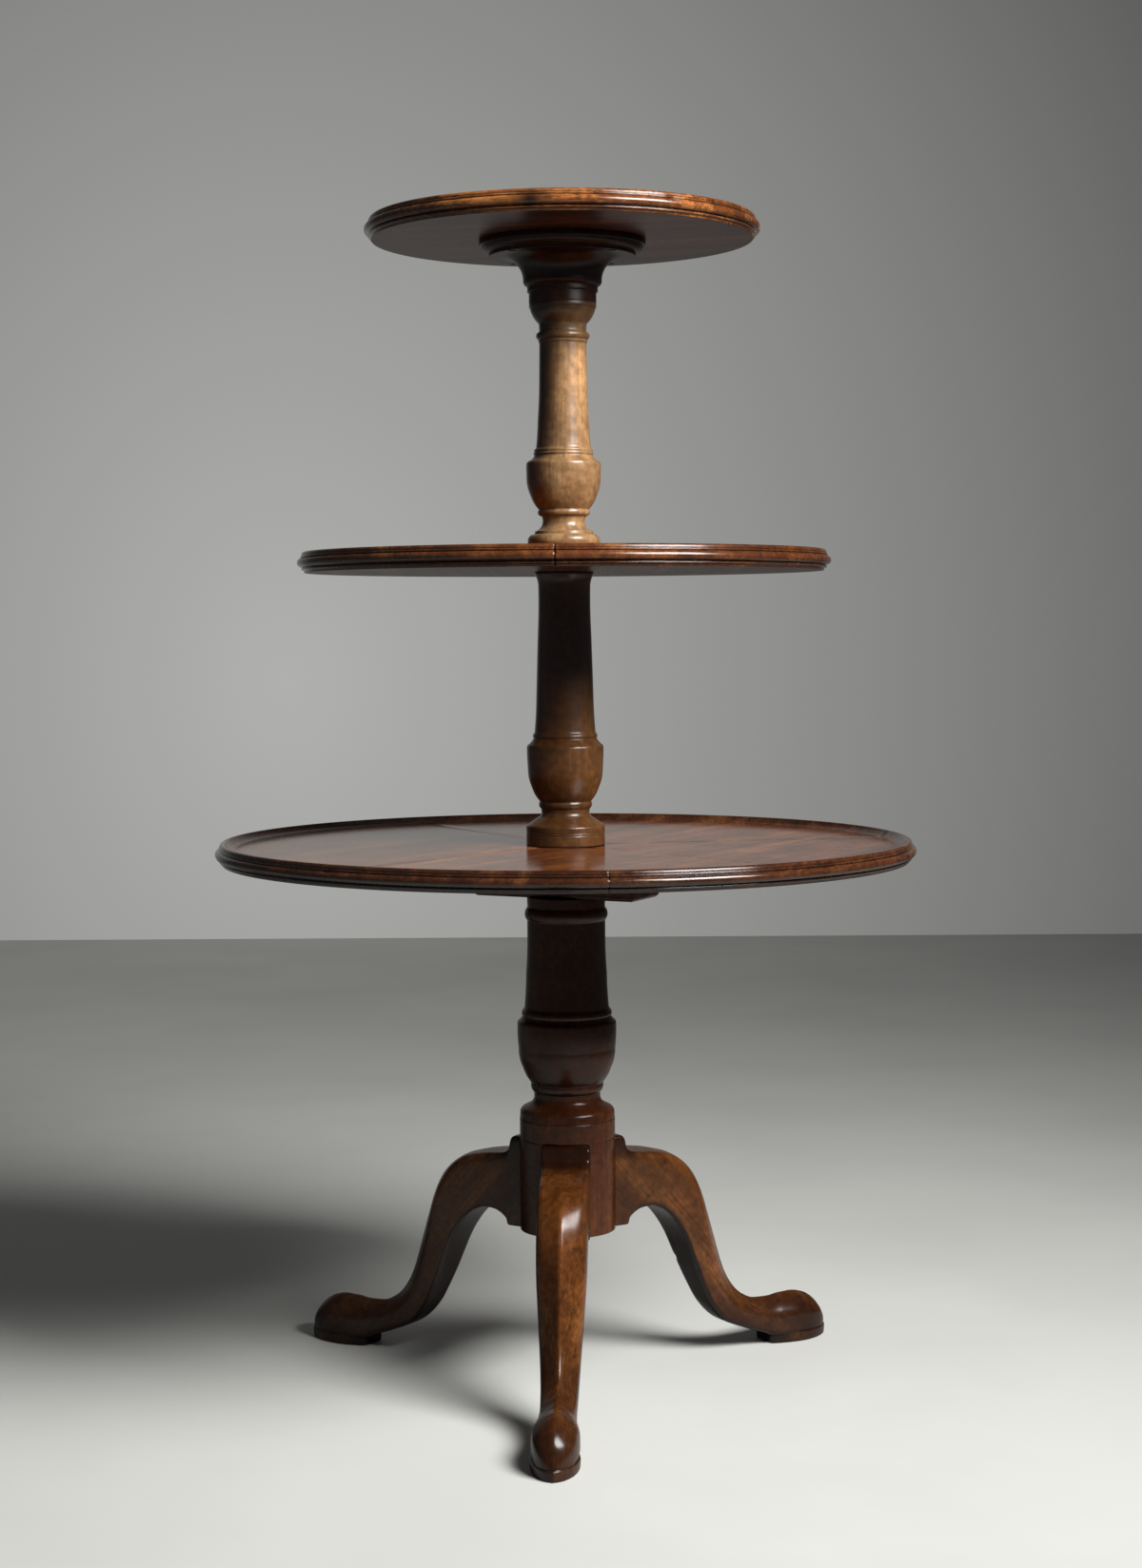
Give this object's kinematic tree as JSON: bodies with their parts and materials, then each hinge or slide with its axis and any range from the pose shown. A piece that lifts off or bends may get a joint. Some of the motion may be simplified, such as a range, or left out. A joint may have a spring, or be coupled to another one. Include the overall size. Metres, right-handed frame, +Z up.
{
  "type": "tiered tray table",
  "caption": "Free-standing wooden table with dished round trays in tiers of graduated size that turn on a turned column, carried by a tripod of cabriole legs with pad feet.",
  "frame": {"origin": "on the floor under the axis of the column", "axes": "+Z up along the column, -Y towards the front leg, +X to the right as seen from the front"},
  "size_m": [0.6102, 0.6102, 1.017],
  "materials": {
    "lower_column": "waxed satin",
    "middle_column": "waxed satin",
    "upper_column": "waxed satin",
    "leg_front": "waxed satin",
    "leg_left": "waxed satin",
    "leg_right": "waxed satin",
    "bottom_tray": "waxed satin",
    "bottom_tray_bearer": "waxed satin",
    "middle_tray": "waxed satin",
    "top_tray": "waxed satin",
    "top_tray_flange": "waxed satin",
    "column_plate": "dark, hand forged",
    "screws": "dark, hand forged"
  },
  "bodies": {
    "stand": {"lower_column": "lower_column", "middle_column": "middle_column", "upper_column": "upper_column", "leg_front": "leg_front", "leg_left": "leg_left", "leg_right": "leg_right", "column_plate": "column_plate", "column_plate_screws": "screws"},
    "bottom_turning_tray": {"bottom_tray": "bottom_tray", "bottom_tray_bearer": "bottom_tray_bearer", "bearer_screws": "screws"},
    "middle_turning_tray": {"middle_tray": "middle_tray"},
    "top_turning_tray": {"top_tray": "top_tray", "top_tray_flange": "top_tray_flange", "flange_screws": "screws"}
  },
  "joints": [
    {"name": "bottom_tray_spin", "type": "hinge", "parent": "stand", "child": "bottom_turning_tray", "pos_m": [0, 0, 0], "axis": [0, 0, 1], "continuous": true},
    {"name": "middle_tray_spin", "type": "hinge", "parent": "stand", "child": "middle_turning_tray", "pos_m": [0, 0, 0], "axis": [0, 0, 1], "continuous": true},
    {"name": "top_tray_spin", "type": "hinge", "parent": "stand", "child": "top_turning_tray", "pos_m": [0, 0, 0], "axis": [0, 0, 1], "continuous": true}
  ]
}
